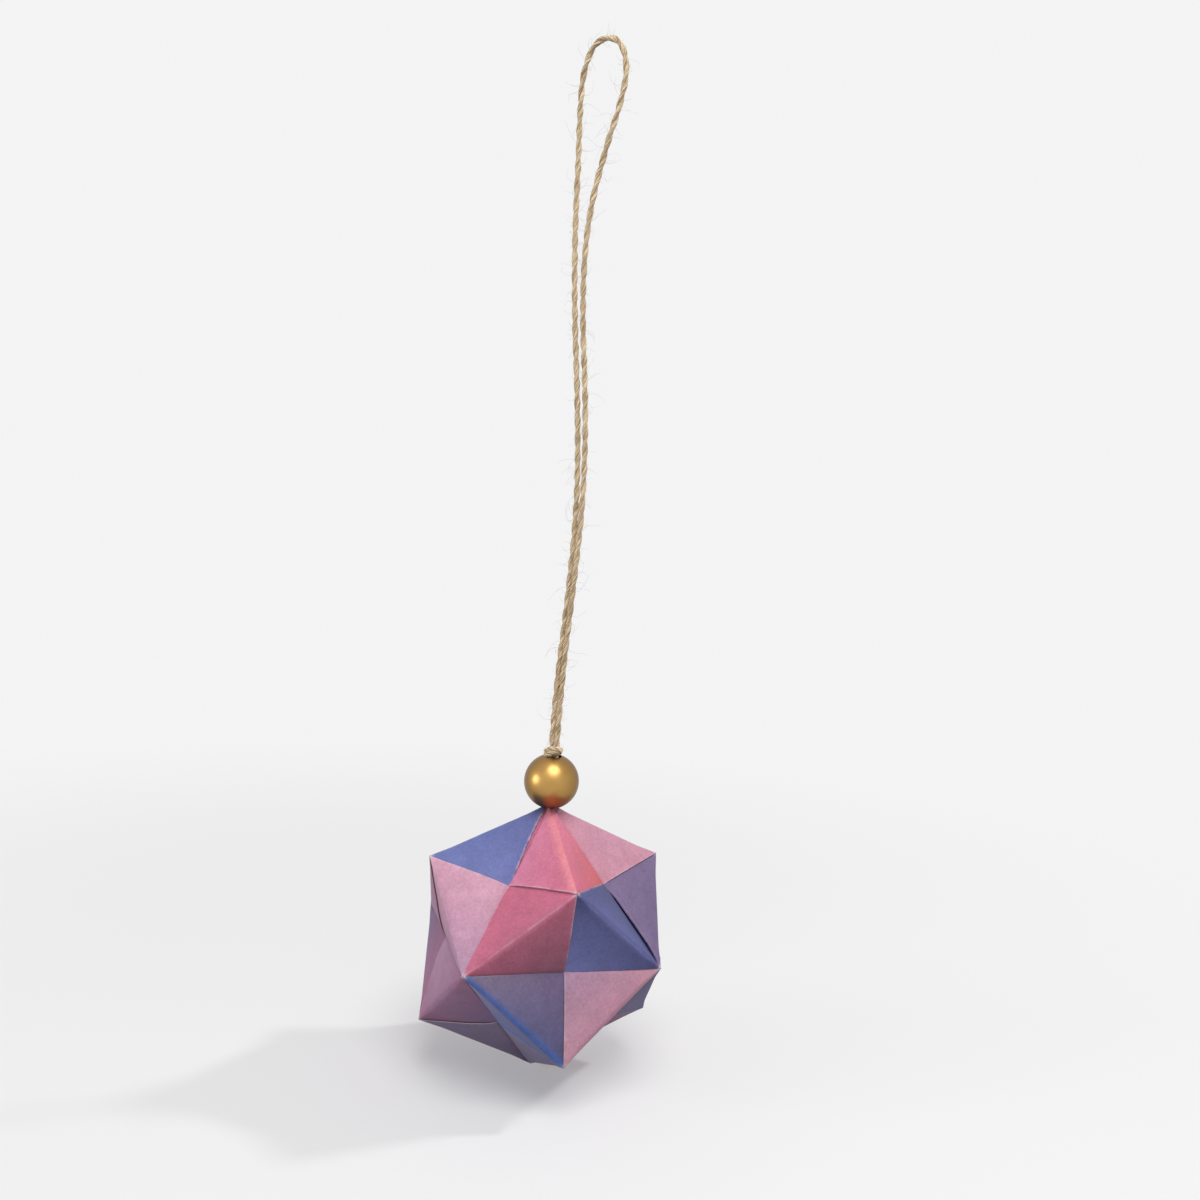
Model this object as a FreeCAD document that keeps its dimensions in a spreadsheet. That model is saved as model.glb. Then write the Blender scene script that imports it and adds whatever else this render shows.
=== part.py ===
import FreeCAD, Part
import math
import os

from FreeCAD import Placement, Rotation, Vector

# A kusudama paper ball on a doubled twine, hung by its loop.
# Twelve square sheets are folded into twelve like units, one on each edge of an octahedron. Their
# tabs slide into each other's pockets and raise a three-sided peak on each of its eight faces.
# A gold bead sits on the top corner. The twine goes through the bead and that corner, with a knot
# above the bead and a stop knot inside the ball.
# The origin is at the inside top of the twine's loop, with +Z up and the twine's loop in XZ.

doc = FreeCAD.newDocument("kusudama_paper_ball")

# Driving sizes, in millimetres
SIZES = {
    "paper_side": 100.0,       # side of the square sheet that each unit is folded from
    "peak_sink": 3.4,          # how far a peak's tip stays below the point of a sharp fold
    "ply": 0.3,                # one pressed layer of folded paper
    "slip": 0.06,              # play between one unit's layers and the next
    "fold_width": 0.7,         # band along a crease where a pocket is pinched shut
    "tip_opening": 1.1,        # small hole where the folds meet at a peak or a corner
    "cord_hole": 3.5,          # hole at the top corner for the two strands
    "bead_diameter": 14.2,
    "bead_bore": 4.3,
    "bore_rounding": 0.35,
    "seat_gap": 0.1,           # play between bead, knots and paper
    "knot_diameter": 4.8,
    "knot_height": 2.9,
    "knot_rounding": 0.85,
    "stop_knot_diameter": 5.0,
    "stop_knot_height": 3.8,
    "stop_knot_rounding": 0.9,
    "twine_diameter": 1.45,
    "strand_spacing": 1.52,    # between the two strands' middles, in the bead and at the knots
}
sheet = doc.addObject("Spreadsheet::Sheet", "Sizes")
for row, (alias, size) in enumerate(SIZES.items(), start=1):
    sheet.set(f"A{row}", alias)
    sheet.set(f"B{row}", str(size))
    sheet.setAlias(f"B{row}", alias)
doc.recompute()


def size(alias):
    return float(sheet.get(alias))


def bind(thing, **expressions):
    """Bind each named property of an object to an expression on the sheet."""
    for name, expression in expressions.items():
        thing.setExpression(name.replace("__", "."), str(expression))


def add(kind, label, **expressions):
    thing = doc.addObject(kind, label)
    thing.Label = label
    bind(thing, **expressions)
    return thing


# Route of the twine's loop: up from the knot, over the bight and down to the knot again.
# The points are chosen by hand from how the twine hangs, from the inside top of the loop.
LOOP_ROUTE = [
    (-0.76, 0.0, -176.0), (-0.76, 0.0, -160.0), (0.5, 0.4, -138.0), (1.3, 0.3, -114.0),
    (-0.2, -0.4, -90.0), (-3.2, -0.4, -67.0), (-5.3, 0.2, -46.0), (-5.9, 0.4, -29.0),
    (-6.4, 0.1, -15.5), (-6.2, 0.0, -6.2), (-3.2, -0.1, 0.725), (3.2, 0.1, 0.725),
    (6.3, 0.1, -6.2), (5.2, -0.1, -15.0), (1.8, -0.6, -27.0), (-1.6, -0.7, -44.0),
    (-1.6, 0.2, -65.0), (1.5, 0.4, -88.0), (3.2, -0.1, -112.0), (2.3, -0.5, -136.0),
    (0.76, 0.0, -159.0), (0.76, 0.0, -176.0),
]

# Heights along the hanging line, each worked out from the piece above it. The knot's rounded foot
# and the ball's four sloping ridges both bear on the eased rims of the bead's bore.
KNOT_TOP = f"({LOOP_ROUTE[0][2]})"
KNOT_FOOT = f"({KNOT_TOP} - Sizes.knot_height)"
RIM_REACH = "(Sizes.bead_bore / 2 + Sizes.bore_rounding)"
RIM_HEIGHT = f"sqrt((Sizes.bead_diameter / 2 - Sizes.bore_rounding) ^ 2 - {RIM_REACH} ^ 2)"
KNOT_REACH = "(Sizes.knot_diameter / 2 - Sizes.knot_rounding)"
KNOT_RISE = ("sqrt((Sizes.knot_rounding + Sizes.bore_rounding + Sizes.seat_gap) ^ 2"
             f" - ({RIM_REACH} - {KNOT_REACH}) ^ 2)")
BEAD_CENTRE = f"({KNOT_FOOT} + Sizes.knot_rounding - {KNOT_RISE} - {RIM_HEIGHT})"
CORNER_RADIUS = "(Sizes.paper_side / 2 / sqrt(2))"
PEAK_REACH = f"({CORNER_RADIUS} * 2 / 3 - Sizes.peak_sink / sqrt(3))"
RIDGE_SLOPE = f"atan(({CORNER_RADIUS} - {PEAK_REACH}) / ({PEAK_REACH} * sqrt(2)))"
TOP_CORNER = (f"({BEAD_CENTRE} - {RIM_HEIGHT} + {RIM_REACH} * tan({RIDGE_SLOPE})"
              f" - (Sizes.bore_rounding + Sizes.seat_gap) / cos({RIDGE_SLOPE}))")
BALL_CENTRE = f"({TOP_CORNER} - {CORNER_RADIUS})"

# The ball's star shape: six corners on the axes and eight peaks between them.
# Every face lies at the same distance from the centre, so a layer under it is the same
# face drawn smaller about the centre, and layers that meet at a crease are mitred.
corner_radius = size("paper_side") / 2 / math.sqrt(2)
peak_reach = corner_radius * 2 / 3 - size("peak_sink") / math.sqrt(3)
face_distance = corner_radius * peak_reach / math.sqrt(
    2 * peak_reach ** 2 + (corner_radius - 2 * peak_reach) ** 2)

ply = size("ply")
slip = size("slip")
fold_width = size("fold_width")
tab_top = ply + slip
tab_foot = tab_top + ply
back_top = tab_foot + slip
back_foot = back_top + ply


def trimmed(points, insets):
    """Move each side of a flat convex outline inwards. insets[i] is for the side from point i."""
    moved = []
    for i, point in enumerate(points):
        before = (point - points[i - 1]).normalize()
        after = (points[(i + 1) % len(points)] - point).normalize()
        turn = before.cross(after).Length
        moved.append(point + (after * insets[i - 1] - before * insets[i]) * (1 / turn))
    return moved


def panel(points, insets, top, foot):
    """A flat layer of paper between two depths under a face, with sides that point at the centre."""
    outline = trimmed(points, insets)
    rings = [[p * (1 - depth / face_distance) for p in outline] for depth in (top, foot)]
    loops = list(rings)
    for i in range(len(outline)):
        j = (i + 1) % len(outline)
        loops.append([rings[0][i], rings[0][j], rings[1][j], rings[1][i]])
    faces = [Part.Face(Part.makePolygon(loop + loop[:1])) for loop in loops]
    solid = Part.makeSolid(Part.makeShell(faces))
    if solid.Volume < 0:
        solid.reverse()
    return solid


def folded_half(first, second, third):
    """Half of a unit: its side of the square on the peak of three corners, its pocket, and the
    tab that goes over the ridge from the first corner to the peak."""
    peak = (first + second + third) * peak_reach
    corner = first * corner_radius
    far_corner = second * corner_radius
    next_corner = third * corner_radius
    valley_middle = (corner + far_corner) * 0.5
    next_middle = (corner + next_corner) * 0.5

    flap_and_folds = panel([peak, corner, valley_middle], [0, slip / 2, slip / 2], 0, back_foot)
    pocket = panel([peak, corner, valley_middle], [fold_width, fold_width, -slip], ply, back_top)
    back = panel([peak, corner, far_corner], [0, 0, slip], back_top, back_foot)
    tab = panel([peak, next_middle, corner], [slip / 2, slip / 2, 0], 0, tab_foot)
    tongue_play = fold_width + slip
    tongue = panel([peak, next_corner, next_middle], [tongue_play, tongue_play, -slip],
                   tab_top, tab_foot)
    return [flap_and_folds.cut(pocket), back, tab, tongue], peak, corner


def opening(point):
    """A small round hole through every layer where folds meet at a point of the star."""
    return Part.makeCylinder(size("tip_opening") / 2, point.Length, Vector(0, 0, 0), point)


def folded_unit(first, second):
    """One sheet in its folded form: two halves that share the valley between two corners."""
    third = first.cross(second)
    layers, peak, corner = folded_half(first, second, third)
    other_layers, other_peak, other_corner = folded_half(second, first, -third)
    unit = layers[0].fuse(layers[1:] + other_layers).removeSplitter()
    unit = unit.cut([opening(p) for p in (peak, corner, other_peak, other_corner)])
    return unit.Solids[0] if len(unit.Solids) == 1 else unit


TOP, BOTTOM = Vector(0, 0, 1), Vector(0, 0, -1)
FRONT, BACK = Vector(0, -1, 0), Vector(0, 1, 0)
RIGHT, LEFT = Vector(1, 0, 0), Vector(-1, 0, 0)
UNITS = {
    "unit_top_front": (TOP, FRONT),
    "unit_top_right": (TOP, RIGHT),
    "unit_top_back": (TOP, BACK),
    "unit_top_left": (TOP, LEFT),
    "unit_mid_front_right": (FRONT, RIGHT),
    "unit_mid_back_right": (RIGHT, BACK),
    "unit_mid_back_left": (BACK, LEFT),
    "unit_mid_front_left": (LEFT, FRONT),
    "unit_bottom_front": (BOTTOM, FRONT),
    "unit_bottom_right": (BOTTOM, RIGHT),
    "unit_bottom_back": (BOTTOM, BACK),
    "unit_bottom_left": (BOTTOM, LEFT),
}
nodes = []

# Folded units. A folded sheet has no primitive of its own, so its shape is made in code.
# The four top units are pierced at their shared corner for the twine.
for label, (first, second) in UNITS.items():
    if first == TOP:
        sheet_fold = add("Part::Feature", label + "_fold")
        sheet_fold.Shape = folded_unit(first, second)
        cord_hole = add("Part::Cylinder", label + "_cord_hole", Radius="Sizes.cord_hole / 2",
                        Height=f"{CORNER_RADIUS} * 2")
        unit = add("Part::Cut", label)
        unit.Base = sheet_fold
        unit.Tool = cord_hole
    else:
        unit = add("Part::Feature", label)
        unit.Shape = folded_unit(first, second)
    unit.Placement = Placement(Vector(0, 0, 0), Rotation())
    bind(unit, Placement__Base__z=BALL_CENTRE)
    nodes.append(unit)

# Gold bead: a turned wooden ball with a plain bore, its rims eased
bead_ball = add("Part::Sphere", "bead_ball", Radius="Sizes.bead_diameter / 2")
bead_bore = add("Part::Cylinder", "bead_bore_tool", Radius="Sizes.bead_bore / 2",
                Height="Sizes.bead_diameter", Placement__Base__z="-Sizes.bead_diameter / 2")
bead_drilled = add("Part::Cut", "bead_drilled")
bead_drilled.Base = bead_ball
bead_drilled.Tool = bead_bore
doc.recompute()
rims = [
    i for i, edge in enumerate(bead_drilled.Shape.Edges, start=1)
    if abs(edge.Length - math.pi * size("bead_bore")) < 1e-3
]
bead = add("Part::Fillet", "gold_bead", Placement__Base__z=BEAD_CENTRE)
bead.Base = bead_drilled
bead.Edges = [(i, size("bore_rounding"), size("bore_rounding")) for i in rims]
nodes.append(bead)


def knot(label, prefix, foot):
    """A tight overhand knot of both strands, as a rounded barrel with flat ends for the strands."""
    barrel = add("Part::Cylinder", label + "_barrel", Radius=f"Sizes.{prefix}_diameter / 2",
                 Height=f"Sizes.{prefix}_height")
    doc.recompute()
    rounding = size(prefix + "_rounding")
    rounded = add("Part::Fillet", label, Placement__Base__z=foot)
    rounded.Base = barrel
    rounded.Edges = [
        (i, rounding, rounding) for i, edge in enumerate(barrel.Shape.Edges, start=1)
        if isinstance(edge.Curve, Part.Circle)
    ]
    nodes.append(rounded)


# Knots: one on the bead, one jammed under the top corner's four valleys, which fall at 45 degrees
INNER_CORNER = f"({BALL_CENTRE} + {corner_radius * (1 - back_foot / face_distance)})"
STOP_KNOT_TOP = (f"({INNER_CORNER} - Sizes.stop_knot_diameter / 2"
                 " + (2 - sqrt(2)) * Sizes.stop_knot_rounding - Sizes.seat_gap)")
knot("top_knot", "knot", KNOT_FOOT)
knot("stop_knot", "stop_knot", f"{STOP_KNOT_TOP} - Sizes.stop_knot_height")

# Stem: the two strands that run from knot to knot, through the bead and the top corner
strands = [
    add("Part::Cylinder", f"strand_{side}", Radius="Sizes.twine_diameter / 2",
        Height=f"{KNOT_FOOT} - {STOP_KNOT_TOP}",
        Placement__Base__x=f"{sign} * Sizes.strand_spacing / 2",
        Placement__Base__z=STOP_KNOT_TOP)
    for side, sign in (("left", -1), ("right", 1))
]
stem = add("Part::MultiFuse", "twine_stem")
stem.Shapes = strands
nodes.append(stem)


def rounded_route(points):
    """Straight runs joined by tangent arcs, each as large as its two runs allow."""
    corners = [Vector(*p) for p in points]
    start = corners[0]
    edges = []
    for before, corner, after in zip(corners, corners[1:], corners[2:]):
        back = (before - corner).normalize()
        ahead = (after - corner).normalize()
        reach = 0.45 * min((before - corner).Length, (after - corner).Length)
        half_turn = (math.pi - back.getAngle(ahead)) / 2
        radius = reach / math.tan(half_turn)
        print(f"turn {math.degrees(2 * half_turn):.1f} degrees, radius {radius:.1f} mm")
        inward = (back + ahead).normalize()
        centre = corner + inward * (radius / math.cos(half_turn))
        enter, leave = corner + back * reach, corner + ahead * reach
        edges.append(Part.LineSegment(start, enter).toShape())
        edges.append(Part.Arc(enter, centre - inward * radius, leave).toShape())
        start = leave
    edges.append(Part.LineSegment(start, corners[-1]).toShape())
    return Part.Wire(edges)


# Loop: one strand from the knot, over the bight and back to the knot
route = add("Part::Feature", "loop_route")
route.Shape = rounded_route(LOOP_ROUTE)
section = add("Part::Circle", "loop_section", Radius="Sizes.twine_diameter / 2")
section.Placement = Placement(Vector(*LOOP_ROUTE[0]), Rotation())
loop = add("Part::Sweep", "twine_loop")
loop.Sections = [section]
loop.Spine = (route, [f"Edge{i + 1}" for i in range(len(route.Shape.Edges))])
loop.Solid = True
loop.Frenet = False
nodes.append(loop)
doc.recompute()

# Checks, then one file for each node
for thing in doc.Objects:
    if "Invalid" in thing.State or "Error" in thing.State:
        raise RuntimeError(f"{thing.Label} is {thing.State}")
for node in nodes:
    if node.Shape.isNull() or not node.Shape.isValid():
        raise RuntimeError(f"{node.Label} has no valid shape")
    if not node.Shape.Solids:
        raise RuntimeError(f"{node.Label} holds no solid")
section_area = math.pi * (size("twine_diameter") / 2) ** 2
print("loop volume over section times length:",
      round(loop.Shape.Volume / (section_area * route.Shape.Length), 4),
      "length", round(route.Shape.Length, 1))
os.makedirs("parts", exist_ok=True)
for node in nodes:
    node.Shape.exportStep(f"parts/{node.Label}.step")
    box = node.Shape.BoundBox
    print(node.Label, len(node.Shape.Solids), "solid", len(node.Shape.Faces), "faces",
          round(node.Shape.Volume, 1), "mm3", "z", round(box.ZMin, 2), round(box.ZMax, 2))
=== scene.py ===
import math

import bmesh
import bpy
from mathutils import Matrix, Vector, noise


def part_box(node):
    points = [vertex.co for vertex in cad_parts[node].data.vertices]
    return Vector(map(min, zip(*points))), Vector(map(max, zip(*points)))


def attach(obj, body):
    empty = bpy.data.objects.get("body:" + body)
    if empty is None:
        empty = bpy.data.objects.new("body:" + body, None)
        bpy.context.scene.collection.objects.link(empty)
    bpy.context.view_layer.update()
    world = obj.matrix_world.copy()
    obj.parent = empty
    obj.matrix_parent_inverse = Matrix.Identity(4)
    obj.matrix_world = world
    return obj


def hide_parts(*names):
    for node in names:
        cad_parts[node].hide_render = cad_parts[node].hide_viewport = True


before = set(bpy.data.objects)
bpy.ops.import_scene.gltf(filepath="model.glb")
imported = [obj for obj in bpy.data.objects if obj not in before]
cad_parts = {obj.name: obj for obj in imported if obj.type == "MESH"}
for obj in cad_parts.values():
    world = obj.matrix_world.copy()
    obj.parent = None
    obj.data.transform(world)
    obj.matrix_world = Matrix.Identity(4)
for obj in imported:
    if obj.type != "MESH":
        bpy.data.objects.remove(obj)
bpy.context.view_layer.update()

MM = 0.001

# Viewpoint: the camera of the photograph, seen slightly from above and from the right of the
# ball's front corner. It is placed from the middle of the ball.
waist_low, waist_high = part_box("unit_mid_front_right")
BALL_CENTRE = Vector((0.0, 0.0, (waist_low[2] + waist_high[2]) / 2))
VIEW_FROM_BALL = Vector((151.1, -265.4, 115.9)) * MM
VIEW_TURN = math.radians(27.99)
VIEW_PITCH = math.radians(-5.06)
VIEW_ROLL = math.radians(4.47)

view_data = bpy.data.cameras.new("viewpoint")
view_data.sensor_width = 36.0
view_data.lens = 36.0
view_data.clip_start = 0.01
viewpoint = bpy.data.objects.new("viewpoint", view_data)
bpy.context.scene.collection.objects.link(viewpoint)
viewpoint.matrix_world = (
    Matrix.Translation(BALL_CENTRE + VIEW_FROM_BALL)
    @ Matrix.Rotation(VIEW_TURN, 4, "Z")
    @ Matrix.Rotation(math.pi / 2 + VIEW_PITCH, 4, "X")
    @ Matrix.Rotation(VIEW_ROLL, 4, "Z")
)
bpy.context.scene.camera = viewpoint

# Folded units: twelve squares of craft paper, its colour printed on one side in soft patches.
# Each is folded to a square with a valley across it and a tab at each end. A tab goes over its
# own ridge and slides into the next unit's pocket, so a unit shows two tiles and no glue.
PAPER_SIDE = 100 * MM
TILE_SIDE = PAPER_SIDE / 4
PEAK_SINK = 3.4 * MM
CORNER_RADIUS = PAPER_SIDE / 2 / math.sqrt(2)
PEAK_REACH = CORNER_RADIUS * 2 / 3 - PEAK_SINK / math.sqrt(3)
PLY = 0.2 * MM
LAYER = 0.27 * MM
TIP_HOLE = 0.5 * MM
CORNER_HOLE = 0.3 * MM
CORD_HOLE = 1.72 * MM
BACK_DEPTH = 1.3 * MM
BACK_INSET = 0.09
POCKET_MARGIN = 3.0 * MM

# Print colours, with a few that are painted light among them: a coral painted highlight and a wine
# painted shade.
INKS_AND_PAINTED_LIGHT = {
    "periwinkle": (0.175, 0.205, 0.47),
    "cornflower": (0.10, 0.17, 0.43),
    "bright blue": (0.075, 0.15, 0.44),
    "lapis": (0.23, 0.26, 0.58),
    "indigo": (0.125, 0.135, 0.32),
    "dusk": (0.082, 0.087, 0.235),
    "navy": (0.075, 0.08, 0.18),
    "slate": (0.10, 0.10, 0.21),
    "slate violet": (0.26, 0.21, 0.31),
    "plum": (0.205, 0.15, 0.275),
    "plum rose": (0.36, 0.145, 0.255),
    "heather": (0.36, 0.23, 0.38),
    "mauve": (0.50, 0.30, 0.44),
    "ash rose": (0.58, 0.28, 0.37),
    "dusty pink": (0.63, 0.325, 0.41),
    "pale pink": (0.69, 0.37, 0.49),
    "orchid": (0.67, 0.225, 0.36),
    "rose": (0.58, 0.155, 0.25),
    "coral": (0.56, 0.12, 0.115),
    # A lighter coral: a painted highlight along a ridge where its soft roll catches the light.
    "coral painted highlight": (0.73, 0.25, 0.30),
    # A darker wine: painted shade on a tile half that faces down.
    "wine painted shade": (0.30, 0.125, 0.185),
}
TOP, BOTTOM = Vector((0, 0, 1)), Vector((0, 0, -1))
FRONT, BACK = Vector((0, -1, 0)), Vector((0, 1, 0))
RIGHT, LEFT = Vector((1, 0, 0)), Vector((-1, 0, 0))

# Each unit has its two corners, then a tile at each of them. A tile has its inks at the peak, at
# the flap's side, at the corner and at the tab's side, and how it is folded where that differs.
# Some of these colours are a painted highlight and painted shade, noted where they stand.
UNITS = {
    "unit_top_front": (
        # The band of lighter coral along this tile's ridge is a painted highlight where the roll
        # catches the light.
        (TOP, ("rose", "orchid", "orchid", "coral"),
         {"ridge_width": 2.4 * MM, "ridge_rub": 0.0, "slit_lift": 0.42 * MM,
          "band": ("coral painted highlight", 3.4 * MM, 0.9 * MM)}),
        (FRONT, ("pale pink", "pale pink", "mauve", "plum rose"), {})),
    "unit_top_right": (
        (TOP, ("ash rose", "ash rose", "ash rose", "mauve"), {"ridge_rub": 0.04}),
        # This tile's upper half is dark navy and dusk: partly print and partly painted shade near the
        # valley, where the next unit's lifted fold shades it.
        (RIGHT, ("dusk", "navy", "dusk", "lapis"), {"ridge_rub": 0.06})),
    "unit_top_back": (
        (TOP, ("heather", "mauve", "orchid", "heather"), {}),
        (BACK, ("periwinkle", "plum", "heather", "mauve"), {})),
    "unit_top_left": (
        (TOP, ("periwinkle", "cornflower", "indigo", "periwinkle"),
         {"fold_setback": 0.75 * MM, "fold_lift": 0.9 * MM, "fold_roll": 0.42 * MM,
          "fold_rub": 0.7}),
        (LEFT, ("mauve", "heather", "plum", "orchid"), {})),
    "unit_mid_front_right": (
        # The wine at this tile's flap side is painted shade: it darkens the half that faces down.
        (FRONT, ("rose", "wine painted shade", "rose", "rose"), {"ridge_rub": 0.18, "ridge_width": 2.0 * MM}),
        (RIGHT, ("dusty pink", "mauve", "dusty pink", "orchid"), {})),
    "unit_mid_back_right": (
        (RIGHT, ("plum", "navy", "plum", "plum"),
         {"fold_setback": 0.3 * MM, "fold_lift": 0.95 * MM}),
        (BACK, ("coral", "rose", "dusty pink", "orchid"), {})),
    "unit_mid_back_left": (
        (BACK, ("periwinkle", "indigo", "cornflower", "plum"), {}),
        (LEFT, ("rose", "coral", "orchid", "dusty pink"), {})),
    "unit_mid_front_left": (
        (LEFT, ("plum rose", "plum rose", "heather", "mauve"), {}),
        (FRONT, ("plum rose", "mauve", "plum rose", "plum"), {"ridge_rub": 0.03})),
    # This unit's inks are partly print and partly painted shade: they are kept dark so that its
    # underside reads as shadowed.
    "unit_bottom_front": (
        (BOTTOM, ("plum", "slate violet", "plum", "heather"), {}),
        (FRONT, ("slate", "cornflower", "slate violet", "plum"),
         {"ridge_rub": 0.03, "band": ("bright blue", 1.4 * MM, 2.6 * MM)})),
    "unit_bottom_right": (
        (BOTTOM, ("navy", "indigo", "plum", "slate violet"), {}),
        (RIGHT, ("indigo", "plum", "navy", "indigo"), {})),
    "unit_bottom_back": (
        (BOTTOM, ("plum rose", "heather", "orchid", "plum"), {}),
        (BACK, ("periwinkle", "cornflower", "indigo", "plum"), {})),
    "unit_bottom_left": (
        (BOTTOM, ("indigo", "plum", "heather", "periwinkle"), {}),
        (LEFT, ("plum rose", "heather", "plum", "plum rose"), {})),
}
USUAL_FOLD = {"ridge_width": 1.7 * MM, "ridge_rub": 0.08, "slit_lift": 0.15 * MM,
              "fold_lift": 0.12 * MM, "fold_setback": 0.15 * MM, "fold_roll": 0.24 * MM,
              "fold_rub": 0.12, "band": None}


def shader_node(tree, kind, place, **values):
    """Add a node to a tree. Each value sets an input of that name, or else a property."""
    made = tree.nodes.new(kind)
    made.location = place
    for name, value in values.items():
        sockets = [s for s in made.inputs if s.name.lower() == name.replace("_", " ").lower()]
        if sockets:
            sockets[0].default_value = value
        else:
            setattr(made, name, value)
    return made


def new_material(name, **values):
    """A material with one Principled BSDF, its inputs set by name."""
    made = bpy.data.materials.new(name)
    made.use_nodes = True
    shader = made.node_tree.nodes["Principled BSDF"]
    for title, value in values.items():
        shader.inputs[title.replace("_", " ")].default_value = value
    return made, made.node_tree, shader


def open_group(name, inputs, outputs):
    """A shader node group with named sockets: inputs are name to (type, starting value)."""
    tree = bpy.data.node_groups.new(name, "ShaderNodeTree")
    for title, (kind, start) in inputs.items():
        socket = tree.interface.new_socket(title, in_out="INPUT", socket_type=kind)
        if start is not None:
            socket.default_value = start
    for title, kind in outputs.items():
        tree.interface.new_socket(title, in_out="OUTPUT", socket_type=kind)
    return tree, tree.nodes.new("NodeGroupInput"), tree.nodes.new("NodeGroupOutput")


# Fibres and cloudy tone, used by the paper, its raw edges and the twine
fibres, given, result = open_group(
    "fibre_tone",
    {"Color": ("NodeSocketColor", (0.5, 0.5, 0.5, 1.0)), "Way": ("NodeSocketVector", None),
     "Place": ("NodeSocketVector", None), "Fibre Scale": ("NodeSocketFloat", 1.0),
     "Fibre Strength": ("NodeSocketFloat", 0.1), "Cloud Scale": ("NodeSocketFloat", 190.0),
     "Cloud Strength": ("NodeSocketFloat", 0.1)},
    {"Color": "NodeSocketColor", "Cloud": "NodeSocketFloat", "Height": "NodeSocketFloat"})
fibre = shader_node(fibres, "ShaderNodeTexNoise", (-800, 200), Detail=4.0, Roughness=0.6,
                    Distortion=0.6)
cloud = shader_node(fibres, "ShaderNodeTexNoise", (-800, -60), Detail=6.0, Roughness=0.62)
grain = shader_node(fibres, "ShaderNodeTexNoise", (-800, -320), Scale=1500.0, Detail=3.0)
fibres.links.new(given.outputs["Way"], fibre.inputs["Vector"])
fibres.links.new(given.outputs["Fibre Scale"], fibre.inputs["Scale"])
fibres.links.new(given.outputs["Place"], cloud.inputs["Vector"])
fibres.links.new(given.outputs["Cloud Scale"], cloud.inputs["Scale"])
fibres.links.new(given.outputs["Place"], grain.inputs["Vector"])
tone = None
for texture, strength in ((fibre, "Fibre Strength"), (cloud, "Cloud Strength"), (grain, None)):
    centred = shader_node(fibres, "ShaderNodeMath", (-560, 0), operation="SUBTRACT")
    centred.inputs[1].default_value = 0.5
    fibres.links.new(texture.outputs[0], centred.inputs[0])
    scaled = shader_node(fibres, "ShaderNodeMath", (-400, 0), operation="MULTIPLY_ADD")
    scaled.inputs[1].default_value = 0.42
    scaled.inputs[2].default_value = 1.0
    fibres.links.new(centred.outputs[0], scaled.inputs[0])
    if strength:
        fibres.links.new(given.outputs[strength], scaled.inputs[1])
    if tone is None:
        tone = scaled
        continue
    both = shader_node(fibres, "ShaderNodeMath", (-220, 0), operation="MULTIPLY")
    fibres.links.new(tone.outputs[0], both.inputs[0])
    fibres.links.new(scaled.outputs[0], both.inputs[1])
    tone = both
toned = shader_node(fibres, "ShaderNodeVectorMath", (0, 100), operation="SCALE")
fibres.links.new(given.outputs["Color"], toned.inputs[0])
fibres.links.new(tone.outputs[0], toned.inputs["Scale"])
fibres.links.new(toned.outputs[0], result.inputs["Color"])
fibres.links.new(cloud.outputs[0], result.inputs["Cloud"])
relief = shader_node(fibres, "ShaderNodeMath", (0, -200), operation="ADD")
fibres.links.new(fibre.outputs[0], relief.inputs[0])
fibres.links.new(grain.outputs[0], relief.inputs[1])
fibres.links.new(relief.outputs[0], result.inputs["Height"])


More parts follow.
